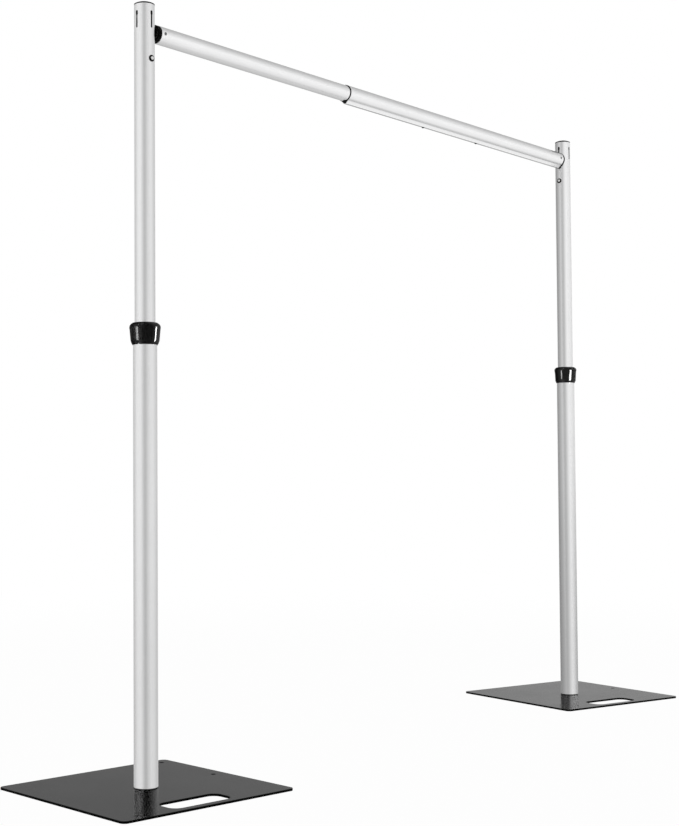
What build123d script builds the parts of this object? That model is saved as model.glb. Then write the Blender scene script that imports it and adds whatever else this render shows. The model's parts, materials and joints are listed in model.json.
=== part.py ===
from build123d import *
import math
import os

os.makedirs("parts", exist_ok=True)

# Background support: two telescoping uprights on flat steel bases and a telescoping
# crossbar hooked between their tops.  Units: millimetres.
# +X runs along the crossbar from the left upright to the right one, +Z is up,
# z = 0 is the floor, and the origin is the centre of the overall footprint.

# Stance
POST_SPACING = 1692.0       # between upright axes
POST_TOP = 1616.0           # top edge of the upper tube
BAR_AXIS_Z = 1562.5

# Gaps between mating pieces
FIT = 0.02                  # seated faces and holes
PLUG_FIT = 0.04             # plugs and grommets in their bores

# Base plates
PLATE = 430.0
PLATE_T = 5.0
PLATE_CORNER_R = 12.0
PLATE_YAW_LEFT, PLATE_YAW_RIGHT = -6.4, -15.4
GRIP_L, GRIP_W, GRIP_CORNER_R = 150.0, 61.0, 20.0
GRIP_X, GRIP_Y = -7.5, -167.0               # hand slot centre, in plate axes
STAKE_R = 5.5                               # floor-fixing holes
STAKE_XY = ((186.0, 188.0), (185.0, 8.0))

# Base pin and its screw
PIN_R, PIN_H, PIN_CHAMFER = 15.0, 50.0, 4.0
SCREW_R, SCREW_HEAD_R = 6.0, 11.0
SCREW_CONE_Z = 4.0                          # top of the plate's countersink
SCREW_HOLE_DEPTH = 34.0                     # up into the pin

# Lower tube and its foot bush
LOW_R, LOW_WALL = 25.0, 1.5
LOW_IN = LOW_R - LOW_WALL
LOW_Z0, LOW_Z1 = 6.2, 935.0
BUSH_BORE = PIN_R + 0.06
BUSH_Z0, BUSH_Z1 = 5.25, 52.0

# Upper tube
UP_R, UP_WALL = 21.5, 1.5
UP_IN = UP_R - UP_WALL
UP_LEN = 950.0
UP_Z0 = POST_TOP - UP_LEN
GUIDE_R = 23.35                             # guide bush round the tube's foot
SLOT_DROP, SLOT_LEN = 14.5, 36.3            # hook slots, dropped from the post top
SLOT_W = 4.0
SLOT_MOUTH_LEN, SLOT_MOUTH_W = 10.0, 5.6
CORE_R, CORE_LEN = 15.4, 58.0               # cap core behind the hook slots
CAP_RIM_R = 21.5

# Snap button
BUTTON_Z = POST_TOP - 114.6
BUTTON_R = 4.0
BUTTON_X0, BUTTON_X1 = 17.0, 26.0           # back and tip, from the upright axis
GROMMET_R = 7.0

# Slip-lock collar, its seat, rollers and spring
COLLAR_Z0, COLLAR_H = 908.5, 46.0
COLLAR_MAX_R = 32.4
COLLAR_YAW_LEFT, COLLAR_YAW_RIGHT = -32.0, 33.0
FLAT_LOW, FLAT_HIGH = 29.3, 31.7            # half distance across flats, bottom and top
CAVITY_Z0 = COLLAR_Z0 + 12.4                # floor of the collar's cavity
SEAT_BORE, SEAT_HEAD_R = 21.9, 27.0
CAVITY_R = SEAT_HEAD_R + 0.3
ROLLER_R, TRUNNION_R = 2.0, 0.8
ROLLER_X = UP_R + FIT + ROLLER_R
ROLLER_Z = LOW_Z1 + 7
SPRING_MEAN_R, SPRING_WIRE_R, SPRING_TURNS = 26.2, 0.6, 4.0

# Crossbar; local x is measured from the left upright's axis, local z from the bar axis
THIN_R, THIN_WALL = 19.0, 1.5
THIN_IN = THIN_R - THIN_WALL
THIN_X0, THIN_X1 = 34.0, 1048.0
THICK_R, THICK_BORE = 20.5, 19.3
THICK_END_GAP = 29.5                        # larger tube's end to the right upright axis
THICK_X0, THICK_X1 = 666.0, POST_SPACING - THICK_END_GAP
FLANGE_X = 22.0                             # plug face from the upright axis

# V keel under the larger tube, and its inner channel
KEEL_Z, KEEL_FOOT = -25.2, 6.0              # foot height and width
CHANNEL_Z, CHANNEL_FOOT = -24.0, 4.98
KEEL_SPREAD = 0.959                         # half width gained per mm of height
KEEL_SCREW_X = (989.0, 1233.0)
KEEL_SCREW_R = 1.5

# Hooks and their rivets, measured from the upright axis and the bar axis
HOOK_T = 3.0
HOOK_GAP = 0.03                             # slot clearance round the hook
HOOK_STEP_X, HOOK_END_X = 36.0, 66.0
HOOK_TOP, HOOK_NECK_Z, HOOK_BOTTOM = 16.0, 4.0, -11.0
RIVET_X, RIVET_R, RIVET_HEAD_R = 43.0, 2.0, 3.4


def plate_half_extent(yaw):
    """Half the width in X of a rounded square plate turned by yaw degrees."""
    turn = math.radians(abs(yaw))
    flat_half = PLATE / 2 - PLATE_CORNER_R
    return flat_half * (math.cos(turn) + math.sin(turn)) + PLATE_CORNER_R


SHIFT = (plate_half_extent(PLATE_YAW_LEFT) - plate_half_extent(PLATE_YAW_RIGHT)) / 2
X_LEFT = -POST_SPACING / 2 + SHIFT
X_RIGHT = POST_SPACING / 2 + SHIFT


# --------------------------------- helpers ---------------------------------
def z_cyl(r, z0, z1, x=0.0, y=0.0):
    return Pos(x, y, (z0 + z1) / 2) * Cylinder(r, z1 - z0)


def x_cyl(r, x0, x1, z):
    return Pos((x0 + x1) / 2, 0, z) * Rot(0, 90, 0) * Cylinder(r, x1 - x0)


def y_cyl(r, y0, y1, x, z=0.0):
    return Pos(x, (y0 + y1) / 2, z) * Rot(90, 0, 0) * Cylinder(r, y1 - y0)


def ring(r_out, r_in, z0, z1):
    return z_cyl(r_out, z0, z1) - z_cyl(r_in, z0 - 1, z1 + 1)


def box(x0, x1, y0, y1, z0, z1):
    return Pos((x0 + x1) / 2, (y0 + y1) / 2, (z0 + z1) / 2) * Box(x1 - x0, y1 - y0, z1 - z0)


def xz_face(points):
    """Closed face in the XZ plane from (x, z) points; a point may be ("arc", mid, end)."""
    edges = []
    here = points[0]
    for point in [*points[1:], points[0]]:
        start = (here[0], 0, here[1])
        if point[0] == "arc":
            mid, here = point[1:]
            edges.append(ThreePointArc(start, (mid[0], 0, mid[1]), (here[0], 0, here[1])))
        else:
            here = point
            edges.append(Line(start, (here[0], 0, here[1])))
    return make_face(Wire(edges))


def revolved(points, axis=Axis.Z):
    """Turned solid from (r, z) points about Z, or (x, r) points about X."""
    return revolve(xz_face(points), axis=axis)


def slab(points, half_width):
    """Flat solid from an (x, z) outline, centred on y = 0."""
    return extrude(xz_face(points), half_width, both=True)


def along_x(face, x0, x1):
    """Extrude a section along X; its sketch (x, y) becomes (y, z)."""
    plane = Plane(origin=(x0, 0, 0), x_dir=(0, 1, 0), z_dir=(1, 0, 0))
    return extrude(plane * face, x1 - x0)


def safe_fillet(part, edges, r):
    # guards against a fillet the kernel cannot build: the edges then stay sharp
    try:
        return fillet(edges, r)
    except Exception:
        return part


def save(name, shape, x, z=0.0, yaw=0.0):
    placed = Pos(x, 0, z) * Rot(0, 0, yaw) * shape
    solids = list(placed.solids())
    out = solids[0] if len(solids) == 1 else Compound(children=solids)
    out.label = name
    export_step(out, "parts/" + name + ".step")


# ----------------------------- base and lower tube -------------------------
def base_plate():
    outline = RectangleRounded(PLATE, PLATE, PLATE_CORNER_R)
    grip = Pos(GRIP_X, GRIP_Y) * RectangleRounded(GRIP_L, GRIP_W, GRIP_CORNER_R)
    body = extrude(outline - grip, PLATE_T)
    for hole_x, hole_y in STAKE_XY:
        body -= z_cyl(STAKE_R, -1, PLATE_T + 1, hole_x, hole_y)
    body -= z_cyl(SCREW_R + 0.05, -1, PLATE_T + 1)
    countersink = Cone(SCREW_HEAD_R + 0.3, SCREW_R + 0.3, SCREW_CONE_Z)
    body -= Pos(0, 0, SCREW_CONE_Z / 2) * countersink

    # the fixing holes and the screw hole keep sharp edges
    def on_soft_top(edge):
        spot = edge.center()
        is_hole = edge.geom_type == GeomType.CIRCLE and edge.radius < STAKE_R + 0.1
        return abs(spot.Z - PLATE_T) < 0.01 and abs(spot.X) + abs(spot.Y) > 60 and not is_hole

    def on_bottom_rim(edge):
        spot = edge.center()
        return abs(spot.Z) < 0.01 and max(abs(spot.X), abs(spot.Y)) > 205

    body = safe_fillet(body, body.edges().filter_by(on_soft_top), 0.9)
    return safe_fillet(body, body.edges().filter_by(on_bottom_rim), 0.5)


def base_pin():
    top = PLATE_T + PIN_H
    hole_r, hole_top = SCREW_R + FIT, PLATE_T + SCREW_HOLE_DEPTH
    return revolved([
        (hole_r, PLATE_T), (PIN_R, PLATE_T), (PIN_R, top - PIN_CHAMFER),
        (PIN_R - PIN_CHAMFER, top), (0.0, top), (0.0, hole_top), (hole_r, hole_top),
    ])


def base_screw():
    # countersunk socket screw, driven up through the plate into the pin
    shank_r, head_r, tip = SCREW_R - FIT, SCREW_HEAD_R - 0.6, PLATE_T + 32
    body = revolved([
        (0, 0.3), (head_r, 0.3), (head_r, 0.5), (shank_r, 3.9),
        (shank_r, tip - 2), (SCREW_R - 1.2, tip), (0, tip),
    ])
    socket = extrude(RegularPolygon(4.0, 6), 3.4)
    return body - Pos(0, 0, -0.2) * socket


def tube_bush():
    # plastic foot bush pressed into the lower tube, turning on the base pin
    press_r, lip_top = LOW_IN - FIT, LOW_Z0 - FIT
    return revolved([
        (BUSH_BORE, BUSH_Z0), (23.9, BUSH_Z0), (24.3, 5.6), (24.3, lip_top), (press_r, lip_top),
        (press_r, BUSH_Z1 - 1.5), (LOW_IN - 1.5, BUSH_Z1), (BUSH_BORE + 1.0, BUSH_Z1),
        (BUSH_BORE, BUSH_Z1 - 1.0),
    ])


def lower_tube():
    return revolved([
        (LOW_IN, LOW_Z0), (LOW_R - 0.8, LOW_Z0), (LOW_R, LOW_Z0 + 0.8),
        (LOW_R, LOW_Z1 - 0.4), (LOW_R - 0.4, LOW_Z1), (LOW_IN, LOW_Z1),
    ])


# ------------------------------- slip lock ---------------------------------
# The rollers lie on local +X and -X; the whole lock is then turned with the collar.
def lock_seat():
    # sleeve inside the lower tube, with a head that holds the roller pockets
    head_z = LOW_Z1 + FIT
    seat = ring(LOW_IN - FIT, SEAT_BORE, LOW_Z1 - 40, head_z)
    seat += ring(SEAT_HEAD_R, SEAT_BORE, head_z, LOW_Z1 + 14)
    floor, top = LOW_Z1 + 1.2, LOW_Z1 + 15
    for turn in (0, 180):
        pocket = slab([(18, floor), (25.62, floor), (25.62, ROLLER_Z), (26.3, top), (18, top)], 9.7)
        seat -= Rot(0, 0, turn) * pocket
    return seat


def lock_roller(side):
    x = side * ROLLER_X
    return y_cyl(ROLLER_R, -7.2, 7.2, x, ROLLER_Z) + y_cyl(TRUNNION_R, -9.2, 9.2, x, ROLLER_Z)


def lock_rollers():
    return lock_roller(1) + lock_roller(-1)


def collar():
    # moulded sliding collar: a turned barrel trimmed by four tapering flats
    z0, z1 = COLLAR_Z0, COLLAR_Z0 + COLLAR_H
    barrel = revolved([
        (0, z0), (25.9, z0), ("arc", (28.5, z0 + 5.0), (30.1, z0 + 12.0)),
        (COLLAR_MAX_R, z0 + 33), ("arc", (30.6, z0 + 41.4), (24.2, z1)), (0, z1),
    ])
    flats = loft([
        Pos(0, 0, z0 - 0.01) * RectangleRounded(2 * FLAT_LOW, 2 * FLAT_LOW, 6.0),
        Pos(0, 0, z1 + 0.01) * RectangleRounded(2 * FLAT_HIGH, 2 * FLAT_HIGH, 6.8),
    ])
    body = barrel & flats

    flare = FLAT_HIGH - FLAT_LOW
    tilt = math.degrees(math.atan(flare / COLLAR_H))
    panel_z, panel_depth, cutter_t = 22.5, 0.9, 6.0
    panel_x = FLAT_LOW + flare * panel_z / COLLAR_H - panel_depth + cutter_t / 2
    for k in range(4):
        # shallow thumb panel on each flat
        panel = Box(cutter_t, 23.0, 27.0)
        panel = safe_fillet(panel, panel.edges().filter_by(Axis.X), 3.5)
        body -= Rot(0, 0, 90 * k) * Pos(panel_x, 0, z0 + panel_z) * Rot(0, tilt, 0) * panel
        # drain notch at the foot of each corner
        body -= Rot(0, 0, 90 * k + 45) * box(24.0, 36.0, -1.7, 1.7, z0 - 1, z0 + 2.2)

    # lower tube bore, cavity for the seat head and spring, upper tube bore
    body -= z_cyl(25.3, z0 - 1, z0 + 13)
    body -= z_cyl(CAVITY_R, CAVITY_Z0, z0 + 42.3)
    body -= z_cyl(22.0, z0 + 40, z1 + 1)

    # yokes carrying the two rollers
    for side in (1, -1):
        for y in (8.2, -8.2):
            x_span = sorted((side * 22.3, side * 25.3))
            ear = box(*x_span, y - 0.8, y + 0.8, LOW_Z1 + 4.4, z0 + 43.0)
            ear -= y_cyl(TRUNNION_R + 0.03, y - 2, y + 2, side * ROLLER_X, ROLLER_Z)
            body += ear
    return body


def collar_spring():
    # coil between the cavity floor and the top of the lower tube
    end_gap = 0.05
    z0, z1 = CAVITY_Z0 + 0.1, LOW_Z1 - 0.05
    run = (z1 - z0) - 2 * SPRING_WIRE_R - 2 * end_gap
    path = Helix(pitch=run / SPRING_TURNS, height=run, radius=SPRING_MEAN_R)
    start = Plane(origin=path @ 0, z_dir=path % 0)
    coil = sweep(start * Circle(SPRING_WIRE_R), path=path, is_frenet=True)
    return Pos(0, 0, z0 + SPRING_WIRE_R + end_gap) * coil


# ------------------------------- upper tube --------------------------------
# In local axes the snap button faces +X.
def upper_tube():
    tube = revolved([
        (UP_IN, UP_Z0), (UP_R - 0.4, UP_Z0), (UP_R, UP_Z0 + 0.4), (UP_R, POST_TOP - 0.5),
        (UP_R - 0.5, POST_TOP), (UP_IN, POST_TOP),
    ])
    # hook slots on four sides: a wide mouth above a narrower run
    top = POST_TOP - SLOT_DROP
    bottom = top - SLOT_LEN
    slim_top = top - 4
    mouth = RectangleRounded(SLOT_MOUTH_W, SLOT_MOUTH_LEN, SLOT_MOUTH_W / 2 - 0.05)
    slim = RectangleRounded(SLOT_W, slim_top - bottom, SLOT_W / 2 - 0.05)
    outline = Pos(0, top - SLOT_MOUTH_LEN / 2) * mouth + Pos(0, (slim_top + bottom) / 2) * slim
    slot = extrude(Plane.XZ * outline, 40, both=True)
    for yaw in (0, 90):
        tube -= Rot(0, 0, yaw) * slot
    return tube - x_cyl(GROMMET_R, 10, 30, BUTTON_Z)


def guide_bush():
    # sleeve round the foot of the upper tube, closed in below its end
    bore, sleeve_r, foot = 17.0, UP_R + FIT, UP_Z0 - 3.2
    return revolved([
        (bore, foot), (22.9, foot), (GUIDE_R, UP_Z0 - 2.6), (GUIDE_R, UP_Z0 + 34),
        (22.6, UP_Z0 + 35), (sleeve_r, UP_Z0 + 35), (sleeve_r, UP_Z0 - FIT), (bore, UP_Z0 - FIT),
    ])


def post_cap():
    # low crown over a rim, a skirt pressed inside the tube,
    # and a hollow core standing behind the hook slots
    skirt_in, skirt_out, skirt_foot = 17.4, UP_IN - 0.05, POST_TOP - 9.5
    core_foot = POST_TOP - CORE_LEN
    return revolved([
        (skirt_in, skirt_foot), (skirt_out, skirt_foot), (skirt_out, POST_TOP + FIT),
        (CAP_RIM_R - 0.4, POST_TOP + FIT), (CAP_RIM_R, POST_TOP + 0.4),
        (CAP_RIM_R, POST_TOP + 1.9), ("arc", (13.5, POST_TOP + 5.1), (2.0, POST_TOP + 6.7)),
        (0, POST_TOP + 6.7), (0, POST_TOP + 4.6), (12.9, POST_TOP + 2.2),
        (13.6, core_foot), (CORE_R, core_foot), (CORE_R, POST_TOP - 0.6),
        (skirt_in, POST_TOP - 0.6),
    ])


def button_grommet():
    outer_x = 22.7
    body = x_cyl(GROMMET_R - PLUG_FIT, 18.95, outer_x, BUTTON_Z)
    rim = body.edges().filter_by(lambda e: e.center().X > outer_x - 0.1)
    body = safe_fillet(body, rim, 0.7)
    return body - x_cyl(BUTTON_R + 0.12, 10, 30, BUTTON_Z)


def snap_button():
    stem = x_cyl(BUTTON_R, BUTTON_X0, BUTTON_X1, BUTTON_Z)
    tip = stem.edges().filter_by(lambda e: e.center().X > BUTTON_X1 - 0.1)
    stem = safe_fillet(stem, tip, 3.0)
    return stem + x_cyl(6.2, BUTTON_X0, 18.8, BUTTON_Z)


def snap_spring():
    # U-shaped leaf: one leg against the button's inner end, the other near the far wall
    leaf_t = 0.7
    button_x, far_x = BUTTON_X0 - 0.05, -15.3
    button_top, bend_z = BUTTON_Z + 7, BUTTON_Z - 50.0
    far_top = bend_z + 40
    bend_x, outer_r = (button_x + far_x) / 2, (button_x - far_x) / 2
    inner_r = outer_r - leaf_t
    return slab([
        (button_x, button_top), (button_x, bend_z),
        ("arc", (bend_x, bend_z - outer_r), (far_x, bend_z)),
        (far_x, far_top), (far_x + leaf_t, far_top), (far_x + leaf_t, bend_z),
        ("arc", (bend_x, bend_z - inner_r), (button_x - leaf_t, bend_z)),
        (button_x - leaf_t, button_top),
    ], 4.0)


# -------------------------------- crossbar ---------------------------------
def keel(foot, z, z_top=-14.0):
    """V section below the bar axis: foot width at height z, widening upwards."""
    half = foot / 2
    top_half = half + KEEL_SPREAD * (z_top - z)
    outline = Polyline((-top_half, z_top), (top_half, z_top), (half, z), (-half, z), close=True)
    return make_face(outline)


def channel_fill(z_top=-14.0):
    """Section that fills the keel's channel with a little clearance."""
    return keel(CHANNEL_FOOT - 0.2, CHANNEL_Z + 0.06, z_top)


def rivet_hole(x):
    return y_cyl(RIVET_R + FIT, -30, 30, x)


def keel_screw_hole(x):
    return z_cyl(KEEL_SCREW_R + FIT, -30, -10, x)


def bar_inner_tube():
    tube = revolved([
        (THIN_X0, THIN_IN), (THIN_X0, THIN_R - 0.4), (THIN_X0 + 0.4, THIN_R),
        (THIN_X1 - 0.4, THIN_R), (THIN_X1, THIN_R - 0.4), (THIN_X1, THIN_IN),
    ], Axis.X)
    return tube - rivet_hole(RIVET_X)


def bar_outer_tube():
    face = Circle(THICK_R) + keel(KEEL_FOOT, KEEL_Z)
    face = face - Circle(THICK_BORE) - keel(CHANNEL_FOOT, CHANNEL_Z)
    tube = along_x(face, THICK_X0, THICK_X1)
    foot_edges = tube.edges().filter_by(Axis.X).filter_by(
        lambda e: abs(e.center().Z - KEEL_Z) < 0.1)
    tube = safe_fillet(tube, foot_edges, 1.0)
    tube -= rivet_hole(POST_SPACING - RIVET_X)
    for x in KEEL_SCREW_X:
        tube -= keel_screw_hole(x)
    return tube


def hook_plate():
    # the tip on the -X side drops down inside the upper tube's wall
    plate = slab([
        (16.2, -8.2), (17.2, -9.0), (19.4, -9.0), (19.4, 3.2), (20.2, HOOK_NECK_Z),
        (HOOK_STEP_X, HOOK_NECK_Z), (HOOK_STEP_X, HOOK_BOTTOM), (HOOK_END_X, HOOK_BOTTOM),
        (HOOK_END_X, HOOK_TOP - 2), (HOOK_END_X - 2, HOOK_TOP), (18.2, HOOK_TOP),
        (16.2, HOOK_TOP - 2),
    ], HOOK_T / 2)
    return plate - rivet_hole(RIVET_X)


def hook_slot():
    # the hook's square outline, grown by the gap and open towards the upright
    open_x, step_x, end_x = 10.0, HOOK_STEP_X - HOOK_GAP, HOOK_END_X + HOOK_GAP
    neck_z, bottom, top = HOOK_NECK_Z - HOOK_GAP, HOOK_BOTTOM - HOOK_GAP, HOOK_TOP + HOOK_GAP
    return slab([
        (open_x, neck_z), (step_x, neck_z), (step_x, bottom),
        (end_x, bottom), (end_x, top), (open_x, top),
    ], HOOK_T / 2 + HOOK_GAP)


def bar_plug_left():
    plug_r, tube_face = THIN_IN - PLUG_FIT, THIN_X0 - FIT
    plug = revolved([
        (FLANGE_X, 0), (FLANGE_X, 16.0), (FLANGE_X + 0.8, 16.8), (25.2, 16.8), (25.2, 18.1),
        (25.7, 18.6), (31.4, 18.6), (31.4, 17.5), (tube_face, 17.5), (tube_face, plug_r),
        (72.0, plug_r), (74.0, 16.0), (74.0, 0),
    ], Axis.X)
    grooves = 24
    pitch = 360 / grooves
    for k in range(grooves):
        # grip grooves round the flange
        plug -= Rot(pitch * (k + 0.5), 0, 0) * box(24.0, 30.2, -0.6, 0.6, 18.0, 20.0)
    return plug - hook_slot() - rivet_hole(RIVET_X)


def bar_plug_right():
    # modelled at the left end and mirrored to the right end of the bar
    tube_face = THICK_END_GAP - FIT
    section = Circle(THICK_R - 0.2) + keel(KEEL_FOOT - 0.4, KEEL_Z + 0.3)
    flange = along_x(section, FLANGE_X, tube_face)
    face_edges = flange.edges().filter_by(lambda e: abs(e.center().X - FLANGE_X) < 0.01)
    flange = safe_fillet(flange, face_edges, 0.8)
    body = along_x(Circle(THICK_BORE - PLUG_FIT), tube_face, 72.0)
    tongue = along_x(channel_fill(), tube_face, 60.0)
    plug = flange + body + tongue - hook_slot() - rivet_hole(RIVET_X)
    return mirror(plug, Plane.YZ)


def rivet(tube_r, x):
    # domed head on the +Y side, low set head on the -Y side
    seat = tube_r + FIT
    body = revolved([
        (0, -seat - 1.9), ("arc", (2.0, -seat - 1.45), (RIVET_HEAD_R, -seat - 0.25)),
        (RIVET_HEAD_R, -seat), (RIVET_R, -seat), (RIVET_R, seat), (RIVET_HEAD_R, seat),
        (RIVET_HEAD_R, seat + 0.3), (2.5, seat + 0.82), (1.2, seat + 1.22), (0, seat + 1.3),
    ])
    return Pos(x, 0, 0) * Rot(90, 0, 0) * body


def bar_guide_plug():
    # hollow plug in the inner tube's +X end, its flange guided by the larger tube's bore
    x0, bore, plug_r, flange_r = 1018.0, 14.5, THIN_IN - PLUG_FIT, 19.15
    return revolved([
        (x0, bore), (x0, 16.5), (x0 + 1.5, plug_r), (THIN_X1 + FIT, plug_r),
        (THIN_X1 + FIT, flange_r), (THIN_X1 + 3.4, flange_r), (THIN_X1 + 4.0, 18.6),
        (THIN_X1 + 4.0, bore),
    ], Axis.X)


def bar_mouth_bush():
    # lip on the larger tube's -X end, with a filler reaching into the keel's channel
    lip_x = THICK_X0 - 1.6
    lip = along_x(Circle(THICK_R - 0.1) - Circle(19.22), lip_x, THICK_X0 - FIT)
    filler = channel_fill() - Circle(THICK_BORE)
    return lip + along_x(filler, lip_x, THICK_X0 + 18)


def keel_glide_pads():
    first, second = [
        along_x(channel_fill(z_top=-19.4), x - 25, x + 25) - keel_screw_hole(x)
        for x in KEEL_SCREW_X
    ]
    return first + second


def keel_screws():
    # screws driven up into the pads, with cross-slotted heads below the keel
    head_r, under_head, slot_z0, slot_z1 = 3.2, KEEL_Z - FIT, KEEL_Z - 2, KEEL_Z - 1.0
    screw = revolved([
        (0, KEEL_Z - 1.8), (2.2, KEEL_Z - 1.7), (head_r, KEEL_Z - 0.9), (head_r, under_head),
        (KEEL_SCREW_R, under_head), (KEEL_SCREW_R, -20.4), (0, -19.9),
    ])
    cross = box(-1.9, 1.9, -0.35, 0.35, slot_z0, slot_z1)
    cross += box(-0.35, 0.35, -1.9, 1.9, slot_z0, slot_z1)
    first, second = [Pos(x, 0, 0) * (screw - cross) for x in KEEL_SCREW_X]
    return first + second


# --------------------------------- write -----------------------------------
# side, upright x, then the yaws of the plate, the collar and the button
UPRIGHTS = (
    ("left", X_LEFT, PLATE_YAW_LEFT, COLLAR_YAW_LEFT, -90.0),
    ("right", X_RIGHT, PLATE_YAW_RIGHT, COLLAR_YAW_RIGHT, 180.0),
)
for side, upright_x, plate_yaw, collar_yaw, button_yaw in UPRIGHTS:
    # each piece is named after its function
    for build, yaw in (
        (base_plate, plate_yaw), (base_pin, 0.0), (base_screw, 0.0),
        (tube_bush, 0.0), (lower_tube, 0.0),
        (lock_seat, collar_yaw), (lock_rollers, collar_yaw),
        (collar, collar_yaw), (collar_spring, collar_yaw),
        (upper_tube, button_yaw), (guide_bush, 0.0), (post_cap, 0.0),
        (button_grommet, button_yaw), (snap_button, button_yaw), (snap_spring, button_yaw),
    ):
        save(build.__name__ + "_" + side, build(), upright_x, yaw=yaw)

for name, shape, origin_x in (
    ("bar_inner_tube", bar_inner_tube(), X_LEFT),
    ("bar_outer_tube", bar_outer_tube(), X_LEFT),
    ("bar_plug_left", bar_plug_left(), X_LEFT),
    ("bar_hook_left", hook_plate(), X_LEFT),
    ("hook_rivet_left", rivet(THIN_R, RIVET_X), X_LEFT),
    ("bar_guide_plug", bar_guide_plug(), X_LEFT),
    ("bar_mouth_bush", bar_mouth_bush(), X_LEFT),
    ("keel_glide_pads", keel_glide_pads(), X_LEFT),
    ("keel_screws", keel_screws(), X_LEFT),
    ("bar_plug_right", bar_plug_right(), X_RIGHT),
    ("bar_hook_right", mirror(hook_plate(), Plane.YZ), X_RIGHT),
    ("hook_rivet_right", rivet(THICK_R, -RIVET_X), X_RIGHT),
):
    save(name, shape, origin_x, z=BAR_AXIS_Z)
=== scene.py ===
"""Free-standing rail: two anodised uprights on black base plates carry a crossbar.

The uprights stand along Z and the crossbar runs along X, high above the floor. The shapes
come from the CAD nodes. This script adds the materials, copies of the two collar springs,
the camera and a white studio lit separately for each group of parts.
"""
import json
import math

import bmesh
import bpy
from mathutils import Matrix, Vector


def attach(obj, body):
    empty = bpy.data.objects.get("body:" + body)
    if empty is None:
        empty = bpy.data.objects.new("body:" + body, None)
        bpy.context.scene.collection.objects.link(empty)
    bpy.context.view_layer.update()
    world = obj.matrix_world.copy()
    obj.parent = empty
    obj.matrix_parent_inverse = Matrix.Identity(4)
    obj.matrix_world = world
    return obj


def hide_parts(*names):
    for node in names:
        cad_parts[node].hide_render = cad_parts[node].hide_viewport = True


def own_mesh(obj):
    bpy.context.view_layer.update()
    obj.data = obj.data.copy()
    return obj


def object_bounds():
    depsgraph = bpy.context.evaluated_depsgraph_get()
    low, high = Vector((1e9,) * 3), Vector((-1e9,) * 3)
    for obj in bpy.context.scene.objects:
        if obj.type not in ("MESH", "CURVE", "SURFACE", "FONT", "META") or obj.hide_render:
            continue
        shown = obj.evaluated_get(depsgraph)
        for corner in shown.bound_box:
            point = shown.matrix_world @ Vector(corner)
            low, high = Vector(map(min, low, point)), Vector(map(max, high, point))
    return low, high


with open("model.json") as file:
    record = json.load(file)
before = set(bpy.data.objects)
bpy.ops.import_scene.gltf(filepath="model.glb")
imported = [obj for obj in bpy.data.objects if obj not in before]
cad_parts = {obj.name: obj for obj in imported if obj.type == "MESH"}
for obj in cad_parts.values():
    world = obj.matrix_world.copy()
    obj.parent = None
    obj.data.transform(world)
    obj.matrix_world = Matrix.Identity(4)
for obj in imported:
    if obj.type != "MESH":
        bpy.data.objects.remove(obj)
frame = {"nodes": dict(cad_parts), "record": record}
lo0, hi0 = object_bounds()
nodes = frame["nodes"]
scene = bpy.context.scene
scene.view_settings.view_transform = "Standard"
scene.view_settings.look = "None"

JOINTS = {joint["name"]: joint for joint in frame["record"]["behaviour"]["joints"]}
LEFT_X = JOINTS["base_turn_left"]["pos_m"][0]
RIGHT_X = JOINTS["base_turn_right"]["pos_m"][0]
BAR_Z = 1.5625
X_AXIS, Z_AXIS = 0, 2


# --------------------------------------------------------------------------
# shader node helpers
# --------------------------------------------------------------------------
class Graph:
    """Adds nodes to the emptied shader tree of a material or world."""

    def __init__(self, owner):
        owner.use_nodes = True
        self.tree = owner.node_tree
        self.tree.nodes.clear()

    def feed(self, node, inputs):
        """Link sockets and set plain values; None leaves an input at its default."""
        for key, value in inputs.items():
            if isinstance(value, bpy.types.NodeSocket):
                self.tree.links.new(value, node.inputs[key])
            elif value is not None:
                node.inputs[key].default_value = value

    def add(self, kind, inputs=None, **settings):
        node = self.tree.nodes.new("ShaderNode" + kind)
        for key, value in settings.items():
            setattr(node, key, value)
        self.feed(node, inputs or {})
        return node

    def math(self, operation, first, second=None):
        return self.add("Math", {0: first, 1: second}, operation=operation).outputs[0]

    def plus(self, value, amount):
        return self.math("ADD", value, amount)

    def minus(self, value, amount):
        return self.math("SUBTRACT", value, amount)

    def times(self, value, factor):
        return self.math("MULTIPLY", value, factor)

    def distance(self, value, centre):
        return self.math("ABSOLUTE", self.minus(value, centre))

    def split(self, vector):
        return self.add("SeparateXYZ", {0: vector}).outputs

    def remap(self, value, span=(0.3, 0.7), to=(0.0, 1.0), interpolation="LINEAR"):
        """Carry span onto to. The default span is the usual spread of a noise."""
        inputs = {
            "From Min": span[0], "From Max": span[1],
            "To Min": to[0], "To Max": to[1], "Value": value,
        }
        return self.add("MapRange", inputs, interpolation_type=interpolation).outputs[0]

    def fade(self, value, span, to=(0.0, 1.0)):
        return self.remap(value, span, to, "SMOOTHSTEP")

    def mix(self, factor, first, second):
        inputs = {0: factor, 6: first, 7: second}
        return self.add("Mix", inputs, data_type="RGBA").outputs[2]

    def ramp(self, value, stops, value_reach=1.0, stop_reach=1.0):
        """Piecewise linear through (place, level) stops; each reach is half a full range."""
        node = self.add("ValToRGB", {0: self.remap(value, span=(-value_reach, value_reach))})
        node.color_ramp.interpolation = "LINEAR"
        elements = node.color_ramp.elements
        while len(elements) > 1:
            elements.remove(elements[-1])
        for index, (place, level) in enumerate(stops):
            position = (place + stop_reach) / (2 * stop_reach)
            element = elements.new(position) if index else elements[0]
            element.position = position
            element.color = (level, level, level, 1)
        return node.outputs[0]


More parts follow.
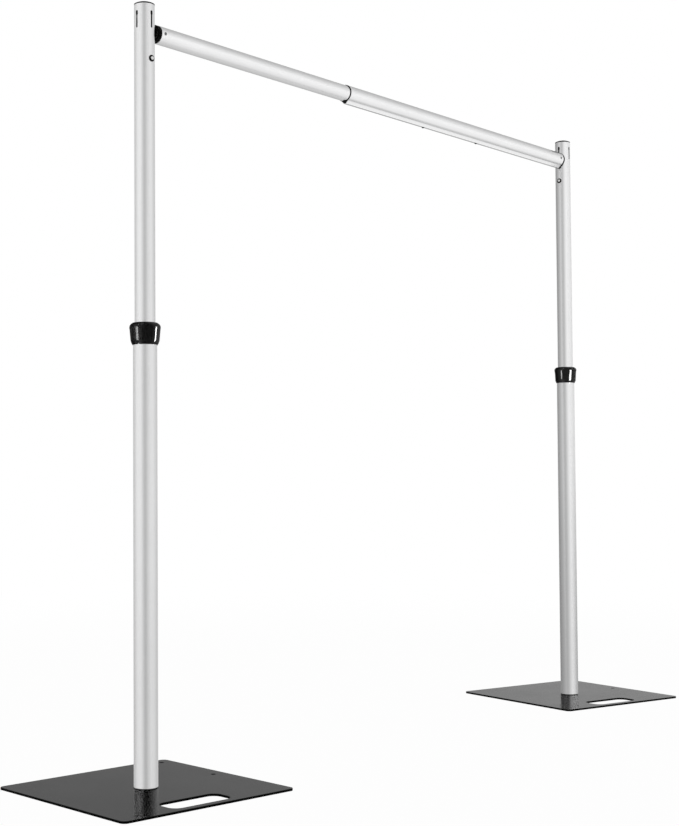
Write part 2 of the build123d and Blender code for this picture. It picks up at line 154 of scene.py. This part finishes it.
class Surface(Graph):
    """A material with one Principled shader, textured in object coordinates."""

    def __init__(self, name):
        self.material = bpy.data.materials.new(name)
        super().__init__(self.material)
        output = self.add("OutputMaterial")
        self.shader = self.add("BsdfPrincipled")
        self.feed(output, {0: self.shader.outputs[0]})
        self.coord = self.add("TexCoord").outputs["Object"]

    def noise(self, cells, detail=2.0, roughness=0.5, distortion=0.0):
        """Noise with about that many cells per metre: one number, or one for each axis."""
        if not isinstance(cells, tuple):
            cells = (cells,) * 3
        mapping = self.add("Mapping", {"Scale": cells, "Vector": self.coord})
        return self.add("TexNoise", {
            "Scale": 1.0, "Detail": detail, "Roughness": roughness,
            "Distortion": distortion, "Vector": mapping.outputs[0],
        }).outputs[0]

    def bump(self, height, strength, distance, normal=None):
        return self.add("Bump", {
            "Strength": strength, "Distance": distance, "Height": height, "Normal": normal,
        }).outputs[0]

    def finish(self, inputs):
        self.feed(self.shader, inputs)
        return self.material


def grey(level):
    return (level, level, level, 1.0)


def stretched(axis, along, across):
    """Noise cells per metre along one axis and across it."""
    cells = [across] * 3
    cells[axis] = along
    return tuple(cells)


# --------------------------------------------------------------------------
# anodised aluminium
# --------------------------------------------------------------------------
# levels below the bar's height, as (start, end) of a change in painted light: lit flanks,
# painted shade on the foot and creases
KEEL_FLANK_LIT = (0.0174, 0.0196)
KEEL_FOOT_SHADE = (0.0248, 0.0251)
KEEL_CREASE_SHADE = 0.0172
CREASE_SHADE_REACH = 0.0036

# radii over which the painted shade in the bore gives way to the tube wall
BORE_SHADE_EDGE = (0.0206, 0.0212)

# direction across each upright in plan, as (x, y)
ACROSS_LEFT = (0.724, -0.690)
ACROSS_RIGHT = (0.502, -0.865)

# painted reflection: mirrored brightness kept across each upright when seen from below:
# (normal's share of that direction, level)
PAINTED_REFLECTION_LEFT = [
    (-1.0, 0.55), (-0.85, 0.25), (-0.5, 0.34), (-0.05, 0.03),
    (0.15, 0.03), (0.45, 0.12), (0.75, 0.34), (1.0, 0.8),
]
PAINTED_REFLECTION_RIGHT = [(-1.0, 0.20), (-0.1, 0.20), (0.15, 0.62), (1.0, 0.70)]


def keel_painted_light(m, value):
    """Painted light on the keel: brighter flanks as if lit, with painted shade on the foot
    and on the creases above.
    """
    z = m.split(m.coord)[2]

    def below_bar(levels):
        return m.remap(z, span=tuple(BAR_Z - level for level in levels))

    # painted highlight on the keel flanks, painted shade on its foot and along the creases
    flank = m.times(below_bar(KEEL_FLANK_LIT), factor=0.12)
    foot = m.times(below_bar(KEEL_FOOT_SHADE), factor=0.36)
    off_crease = m.distance(z, centre=BAR_Z - KEEL_CREASE_SHADE)
    crease = m.remap(off_crease, span=(0.0, CREASE_SHADE_REACH), to=(1.0, 0.0))
    crease = m.times(crease, factor=0.16)
    return m.minus(m.minus(m.plus(value, flank), foot), crease)


def upright_painted_shade_and_reflection(m, value):
    """Painted shade in the bore behind the slots, and a painted dark reflection below where
    the tube is mirrored.
    """
    x, y, _ = m.split(m.coord)
    off_axis = m.math("MINIMUM", m.distance(x, LEFT_X), m.distance(x, RIGHT_X))
    radius = m.math("SQRT", m.plus(m.times(off_axis, off_axis), m.times(y, y)))
    # painted shade: the bore inside the tube wall is darkened, standing in for the shade
    # inside the tube
    value = m.times(value, m.remap(radius, span=BORE_SHADE_EDGE, to=(0.03, 1.0)))

    # painted reflection: glossy rays from below see the tube darkened, a painted dark mirror
    # image in the plates
    path = m.add("LightPath")
    geometry = m.add("NewGeometry")
    from_below = m.remap(m.split(geometry.outputs["Incoming"])[2], span=(-0.03, -0.10))
    normal_x, normal_y, _ = m.split(geometry.outputs["Normal"])
    near_left = 0.2
    on_left = m.math("LESS_THAN", m.distance(x, LEFT_X), near_left)

    def mirrored(across, stops):
        share = m.plus(m.times(normal_x, across[0]), m.times(normal_y, across[1]))
        return m.ramp(share, stops)

    left = mirrored(ACROSS_LEFT, PAINTED_REFLECTION_LEFT)
    right = mirrored(ACROSS_RIGHT, PAINTED_REFLECTION_RIGHT)
    kept = m.plus(m.times(on_left, left), m.times(m.minus(1.0, on_left), right))
    mask = m.times(from_below, path.outputs["Is Glossy Ray"])
    return m.times(value, m.minus(1.0, m.times(mask, m.minus(1.0, kept))))


def anodised(name, axis, adjust_tone=None):
    """Clear satin extrusion: die lines along the tube, cloudy etch, light scuffs."""
    base_tone = 0.83
    m = Surface(name)
    die = m.noise(stretched(axis, along=4.0, across=1400.0), detail=3.0, roughness=0.6)
    band = m.noise(stretched(axis, along=1.3, across=260.0))
    cloud = m.noise(cells=9, detail=4.0, roughness=0.6)
    scuff = m.noise(stretched(axis, along=2600.0, across=90.0), roughness=0.7)
    patches = m.remap(m.noise(cells=31), span=(0.58, 0.70))
    scuff = m.times(m.remap(scuff, span=(0.62, 0.72)), patches)

    tone = m.plus(m.remap(band, to=(-0.012, 0.012)), m.remap(cloud, to=(-0.010, 0.010)))
    tone = m.minus(tone, m.times(scuff, factor=0.02))
    value = m.plus(tone, base_tone)
    if adjust_tone:
        value = adjust_tone(m, value)
    bluish = m.times(value, factor=1.004)
    color = m.add("CombineColor", {0: value, 1: value, 2: bluish})

    die_bump = m.bump(die, strength=0.10, distance=0.00004)
    return m.finish({
        "Base Color": color.outputs[0],
        "Metallic": 1.0,
        "Roughness": m.plus(m.remap(die, span=(0.25, 0.75), to=(0.20, 0.27)),
                            m.times(scuff, factor=0.12)),
        "Normal": m.bump(scuff, strength=0.25, distance=0.00003, normal=die_bump),
    })


# --------------------------------------------------------------------------
# other materials
# --------------------------------------------------------------------------
def powder(name):
    """Satin black powder coat: fine orange peel, faint dust, polished rub marks."""
    m = Surface(name)
    peel = m.noise(cells=620)
    fine = m.noise(cells=2600, detail=1.0)
    cloud = m.noise(cells=7, detail=4.0, roughness=0.6)
    rub = m.remap(m.noise(cells=(60, 9, 40), detail=4.0, roughness=0.65), span=(0.60, 0.72))
    dust = m.remap(m.noise(cells=900, detail=0.0), span=(0.76, 0.80))
    color = m.mix(m.remap(cloud), grey(0.006), grey(0.009))
    peel_bump = m.bump(peel, strength=0.12, distance=0.00005)
    return m.finish({
        "Base Color": m.mix(m.times(dust, factor=0.35), color, grey(0.06)),
        "Metallic": 0.0,
        "IOR": 1.40,
        "Roughness": m.plus(m.remap(cloud, to=(0.16, 0.21)), m.times(rub, factor=-0.03)),
        "Normal": m.bump(fine, strength=0.05, distance=0.00002, normal=peel_bump),
    })


def gloss_plastic(name):
    """Gloss moulded nylon: faint flow marks, hairline handling scratches."""
    m = Surface(name)
    flow = m.noise(cells=(40, 40, 120), detail=3.0, distortion=0.4)
    hair = m.remap(m.noise(cells=(1500, 1500, 60), roughness=0.6), span=(0.66, 0.72))
    flow_bump = m.bump(flow, strength=0.04, distance=0.0002)
    return m.finish({
        "Base Color": m.mix(m.remap(flow), grey(0.003), grey(0.005)),
        "IOR": 1.5,
        "Roughness": m.plus(m.remap(flow, to=(0.07, 0.11)), m.times(hair, factor=0.10)),
        "Normal": m.bump(hair, strength=0.05, distance=0.00002, normal=flow_bump),
    })


def matte_plastic(name):
    """Dull moulded nylon with a fine grain."""
    tone = 0.008
    m = Surface(name)
    grain = m.noise(cells=1400)
    cloud = m.noise(cells=50, detail=3.0)
    return m.finish({
        "Base Color": m.mix(m.remap(cloud), grey(tone * 0.8), grey(tone * 1.25)),
        "IOR": 1.35,
        "Roughness": m.remap(grain, to=(0.34, 0.46)),
        "Normal": m.bump(grain, strength=0.25, distance=0.00003),
    })


def zinc(name, tint=1.0):
    """Plated steel with fine grain; a low tint gives a blackened finish."""
    m = Surface(name)
    grain = m.noise(cells=(500, 500, 2200), roughness=0.6)
    cloud = m.noise(cells=120, detail=3.0, roughness=0.6)
    dark = tuple(tint * channel for channel in (0.50, 0.51, 0.52))
    light = tuple(tint * channel for channel in (0.60, 0.61, 0.61))
    return m.finish({
        "Base Color": m.mix(m.remap(cloud), (*dark, 1.0), (*light, 1.0)),
        "Metallic": 1.0,
        "Roughness": m.remap(grain, to=(0.22, 0.38)),
        "Normal": m.bump(grain, strength=0.15, distance=0.00003),
    })


def nickel(name):
    """Bright plating, slightly clouded."""
    m = Surface(name)
    cloud = m.noise(cells=200, detail=3.0, roughness=0.6)
    grain = m.noise(cells=1800, detail=1.0)
    return m.finish({
        "Base Color": m.mix(m.remap(cloud), (0.74, 0.74, 0.73, 1.0), (0.80, 0.80, 0.80, 1.0)),
        "Metallic": 1.0,
        "Roughness": m.remap(cloud, to=(0.07, 0.14)),
        "Normal": m.bump(grain, strength=0.04, distance=0.00002),
    })


MATERIALS = {
    "upright": anodised("anodised_upright", Z_AXIS, upright_painted_shade_and_reflection),
    "bar": anodised("anodised_crossbar", X_AXIS),
    "keeled": anodised("anodised_keeled_tube", X_AXIS, keel_painted_light),
    "powder_coat": powder("powder_coat_black"),
    "gloss_black": gloss_plastic("gloss_black_nylon"),
    "matte_black": matte_plastic("matte_black_nylon"),
    "steel": zinc("zinc_plated_steel"),
    "plated": nickel("nickel_plate"),
    "rivet": zinc("dull_rivet_steel", tint=0.30),
    "screw": zinc("blackened_screw_steel", tint=0.10),
}
SLOTS = {part["node"]: part["material_slot"] for part in frame["record"]["subparts"]}


def material_key(name):
    """The node's recorded slot, refined where one slot covers several finishes."""
    if name == "bar_outer_tube":
        return "keeled"
    if name.startswith("hook_rivet"):
        return "rivet"
    if name == "keel_screws":
        return "screw"
    if SLOTS[name] == "anodised":
        return "bar" if name.startswith("bar_") else "upright"
    return SLOTS[name]


for name, obj in nodes.items():
    obj.data.materials.clear()
    obj.data.materials.append(MATERIALS[material_key(name)])

for end, x in (("left", LEFT_X), ("right", RIGHT_X)):
    node = "collar_spring_" + end
    coil = bpy.data.objects.new("return_spring_" + end, nodes[node].data.copy())
    coil.matrix_world = nodes[node].matrix_world.copy()
    scene.collection.objects.link(coil)
    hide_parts(node)
    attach(coil, end + "_stand")
    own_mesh(coil)

# --------------------------------------------------------------------------
# camera
# --------------------------------------------------------------------------
# angles in radians; yaw turns from +Y about Z
YAW, PITCH, ROLL = -0.8530, 0.0375, -0.0056
# camera place, with x measured from midway between the uprights
CAMERA_X, CAMERA_Y, CAMERA_Z = -2.9389, -2.1966, 0.6278
SENSOR_MM = 36.0
LENS_MM = 64.0895884
# sideways and upward shift, as shares of the sensor width
SHIFT_X, SHIFT_Y = 0.0714285714, 0.0151331719


def build_camera():
    forward = Vector((
        -math.sin(YAW) * math.cos(PITCH),
        math.cos(YAW) * math.cos(PITCH),
        math.sin(PITCH),
    ))
    level_right = Vector((math.cos(YAW), math.sin(YAW), 0.0))
    level_up = level_right.cross(forward)
    right = math.cos(ROLL) * level_right + math.sin(ROLL) * level_up
    up = -math.sin(ROLL) * level_right + math.cos(ROLL) * level_up
    data = bpy.data.cameras.new("camera")
    camera = bpy.data.objects.new("camera", data)
    scene.collection.objects.link(camera)
    camera.matrix_world = Matrix((
        (right.x, up.x, -forward.x, CAMERA_X + (LEFT_X + RIGHT_X) / 2),
        (right.y, up.y, -forward.y, CAMERA_Y),
        (right.z, up.z, -forward.z, CAMERA_Z),
        (0, 0, 0, 1),
    ))
    data.sensor_width = SENSOR_MM
    data.lens = LENS_MM
    data.shift_x = SHIFT_X
    data.shift_y = SHIFT_Y
    data.clip_start = 0.05
    data.clip_end = 200.0
    scene.camera = camera


build_camera()


# --------------------------------------------------------------------------
# world: white to the camera, nearly black to every other ray
# --------------------------------------------------------------------------
def build_world():
    world = bpy.data.worlds.new("studio")
    scene.world = world
    g = Graph(world)
    output = g.add("OutputWorld")
    path = g.add("LightPath")
    seen = g.add("Background", {0: grey(1)})
    unseen = g.add("Background", {0: grey(0.02)})
    mix = g.add("MixShader", {
        0: path.outputs["Is Camera Ray"], 1: unseen.outputs[0], 2: seen.outputs[0],
    })
    g.feed(output, {0: mix.outputs[0]})


build_world()

# --------------------------------------------------------------------------
# groups of parts, each with its own lights
# --------------------------------------------------------------------------
SHADED = ("post_cap", "button_grommet", "bar_plug", "bar_mouth", "keel_")
NOT_ON_STAND = ("bar_", "hook_", "base_plate", "collar_left", "collar_right") + SHADED
PLATES = ["base_plate_left", "base_plate_right"]
GROUPS = {}


def light_group(group, wanted):
    collection = bpy.data.collections.new("lit_" + group)
    for name in wanted:
        collection.objects.link(nodes[name])
    GROUPS[group] = collection


def stand_parts(end):
    return [n for n in nodes if n.endswith("_" + end) and not n.startswith(NOT_ON_STAND)]


light_group("left", stand_parts("left"))
light_group("right", stand_parts("right"))
light_group("plates", PLATES)
light_group("gloss_left", ["collar_left"])
light_group("gloss_right", ["collar_right"])
light_group("shaded", [n for n in nodes if n.startswith(SHADED)])
# everything left over goes with the crossbar
light_group("bar", [n for n in nodes if not any(n in g.objects for g in GROUPS.values())])

# the tubes stay clean down to the foot: the black plates don't show in them
for name in PLATES:
    nodes[name].visible_glossy = False


# --------------------------------------------------------------------------
# lights
# --------------------------------------------------------------------------
class Light(Graph):
    """Emission on a transparent surface, lighting one group and unseen by the camera."""

    def __init__(self, name, mesh, group):
        self.object = bpy.data.objects.new(name, mesh)
        scene.collection.objects.link(self.object)
        material = bpy.data.materials.new(name)
        super().__init__(material)
        output = self.add("OutputMaterial")
        self.emission = self.add("Emission")
        clear = self.add("BsdfTransparent")
        self.coords = self.add("TexCoord").outputs
        both = self.add("AddShader", {0: clear.outputs[0], 1: self.emission.outputs[0]})
        self.feed(output, {0: both.outputs[0]})
        mesh.materials.append(material)
        self.object.visible_camera = False
        self.object.visible_shadow = False
        self.object.light_linking.receiver_collection = GROUPS[group]

    def compass(self, angle, stops):
        """Level by angle, through (degrees, level) stops."""
        return self.ramp(angle, stops, value_reach=math.pi, stop_reach=180)

    def soft_edges(self, value, width):
        """Fade to nothing at both ends of 0 to 1."""
        return self.times(self.fade(value, span=(0.0, width)),
                          self.fade(value, span=(1.0, 1.0 - width)))


def dome_mesh(name):
    bm = bmesh.new()
    bmesh.ops.create_icosphere(bm, subdivisions=3, radius=25.0)
    mesh = bpy.data.meshes.new(name)
    bm.to_mesh(mesh)
    bm.free()
    return mesh


def elevation_sines(degrees):
    return tuple(math.sin(math.radians(angle)) for angle in degrees)


def dome(group, centre, stops, low_stops=None, low_span=None, drops=(), about_x=False):
    """Soft surround whose level follows the angle about Z, or about X.

    stops, low_stops: (degrees, level). Angles about Z run from +X towards +Y, and
    angles about X run from -Y up towards +Z.
    low_span: elevations in degrees between which stops give way to low_stops.
    drops: (start elevation, end elevation, share of the level kept past the end).
    """
    name = "dome_" + group
    light = Light(name, dome_mesh(name), group)
    light.object.location = centre
    direction = light.add("VectorMath", {0: light.coords["Object"]}, operation="NORMALIZE")
    x, y, z = light.split(direction.outputs[0])
    if about_x:
        angle = light.math("ARCTAN2", z, light.times(y, factor=-1.0))
    else:
        angle = light.math("ARCTAN2", y, x)
    level = light.compass(angle, stops)
    if low_stops:
        lowness = light.remap(z, span=elevation_sines(low_span))
        level = light.mix(lowness, level, light.compass(angle, low_stops))
    strength = 1.0
    for start, end, kept in drops:
        drop = light.fade(z, span=elevation_sines((start, end)), to=(1.0, kept))
        strength = light.times(drop, strength)
    light.feed(light.emission, {0: level, 1: strength})


def strip(name, group, start, end, power):
    """Upright soft strip between two floor points."""
    bottom, top = 0.05, 1.35
    mesh = bpy.data.meshes.new(name)
    corners = [(*start, bottom), (*end, bottom), (*end, top), (*start, top)]
    mesh.from_pydata(corners, [], [(0, 1, 2, 3)])
    uv = mesh.uv_layers.new(name="uv")
    for index, place in enumerate(((0, 0), (1, 0), (1, 1), (0, 1))):
        uv.data[index].uv = place
    mesh.update()
    light = Light(name, mesh, group)
    u, v, _ = light.split(light.coords["UV"])
    shape = light.times(light.soft_edges(u, width=0.2), light.soft_edges(v, width=0.15))
    light.feed(light.emission, {1: light.times(shape, power)})


# all the stop tables below hold (degrees, level)
LEFT_STOPS = [
    (-180, 0.95), (-167, 0.88), (-156, 0.72), (-145, 0.60), (-134, 0.55), (-123, 0.63),
    (-111, 0.75), (-100, 0.82), (-88, 0.88), (-64, 0.90), (-50, 0.87), (-34, 0.79),
    (-15, 0.71), (30, 0.69), (60, 0.66), (82, 0.66), (100, 0.68), (113, 0.74),
    (127, 0.86), (143, 0.94), (157, 0.965), (170, 0.965), (180, 0.95),
]
RIGHT_STOPS = [
    (-180, 0.61), (-171, 0.56), (-162, 0.54), (-154, 0.60), (-147, 0.70), (-132, 0.90),
    (-117, 1.01), (-101, 1.04), (-84, 1.01), (-65, 0.97), (-43, 0.91), (-11, 0.87),
    (30, 0.60), (60, 0.40), (86, 0.35), (112, 0.43), (133, 0.54), (151, 0.66),
    (160, 0.72), (168, 0.72), (176, 0.66), (180, 0.61),
]
RIGHT_LOW_STOPS = [
    (-180, 0.47), (-169, 0.45), (-156, 0.50), (-143, 0.59), (-130, 0.70), (-117, 0.79),
    (-103, 0.84), (-89, 0.81), (-74, 0.73), (-56, 0.62), (-35, 0.50), (30, 0.35),
    (80, 0.28), (116, 0.33), (134, 0.36), (150, 0.40), (164, 0.46), (180, 0.47),
]
BAR_STOPS = [
    (-180, 0.50), (-150, 0.58), (-134, 0.64), (-110, 0.70), (-91, 0.78), (-69, 0.90),
    (-40, 1.01), (-8, 1.08), (15, 1.04), (34, 0.91), (60, 0.73), (88, 0.58),
    (120, 0.50), (157, 0.45), (180, 0.50),
]
PLATE_STOPS = [
    (-180, 0.10), (-60, 0.10), (0, 0.45), (20, 0.58), (30, 0.56), (40, 0.38),
    (48, 0.33), (60, 0.33), (90, 0.30), (130, 0.10), (180, 0.10),
]
GLOSS_STOPS = [
    (-180, 0.60), (-165, 0.40), (-150, 0.18), (-135, 0.11), (-90, 0.12), (-65, 0.22),
    (-40, 0.40), (0, 0.30), (30, 0.10), (60, 0.05), (110, 0.05), (150, 0.45),
    (170, 0.75), (180, 0.60),
]
SHADED_STOPS = [(-180, 0.16), (180, 0.16)]

dome("left", centre=(LEFT_X, 0, 0.8), stops=LEFT_STOPS,
     drops=[(-1.0, -5.0, 0.955), (-5.0, -12.0, 0.93)])
dome("right", centre=(RIGHT_X, 0, 0.8), stops=RIGHT_STOPS,
     low_stops=RIGHT_LOW_STOPS, low_span=(1.0, -7.0))
dome("bar", centre=(0, 0, 1.56), stops=BAR_STOPS, about_x=True)
dome("plates", centre=(0, 0, 0.2), stops=PLATE_STOPS, drops=[(2.0, -3.0, 0.25)])
dome("gloss_left", centre=(LEFT_X, 0, 0.93), stops=GLOSS_STOPS)
dome("gloss_right", centre=(RIGHT_X, 0, 0.93), stops=GLOSS_STOPS)
dome("shaded", centre=(0, 0, 1.5), stops=SHADED_STOPS)

# highlights on the gloss collars: name, group, start (x, y), end (x, y), power
STRIPS = [
    ("strip_right_l", "gloss_left", (0.24, -1.30), (0.80, -1.30), 50.0),
    ("strip_right_r", "gloss_right", (0.40, -1.30), (0.96, -1.30), 34.0),
    ("strip_left_l", "gloss_left", (-3.24, 0.30), (-3.24, 1.25), 13.0),
    ("strip_left_r", "gloss_right", (-3.24, 0.55), (-3.24, 1.30), 12.0),
]
for entry in STRIPS:
    strip(*entry)


# --------------------------------------------------------------------------
# floor
# --------------------------------------------------------------------------
def build_floor():
    """Pale floor that eases into pure white, for the camera only, away from the origin."""
    half = 30.0
    gap = 0.0006  # keeps the floor just under the lowest part
    mesh = bpy.data.meshes.new("floor")
    corners = [(-half, -half, 0), (half, -half, 0), (half, half, 0), (-half, half, 0)]
    mesh.from_pydata(corners, [], [(0, 1, 2, 3)])
    floor = bpy.data.objects.new("floor", mesh)
    scene.collection.objects.link(floor)
    floor.location = (0, 0, lo0.z - gap)

    material = bpy.data.materials.new("pale_floor")
    g = Graph(material)
    output = g.add("OutputMaterial")
    diffuse = g.add("BsdfDiffuse", {0: grey(0.9)})
    white = g.add("Emission", {0: grey(1), 1: 1.0})
    path = g.add("LightPath")
    coords = g.add("TexCoord").outputs
    length = g.add("VectorMath", {0: coords["Object"]}, operation="LENGTH")
    whiteness = g.fade(length.outputs["Value"], span=(1.5, 5.0), to=(0.985, 1.0))
    mix = g.add("MixShader", {
        0: g.times(whiteness, path.outputs["Is Camera Ray"]),
        1: diffuse.outputs[0],
        2: white.outputs[0],
    })
    g.feed(output, {0: mix.outputs[0]})
    mesh.materials.append(material)
    floor.visible_glossy = False


build_floor()
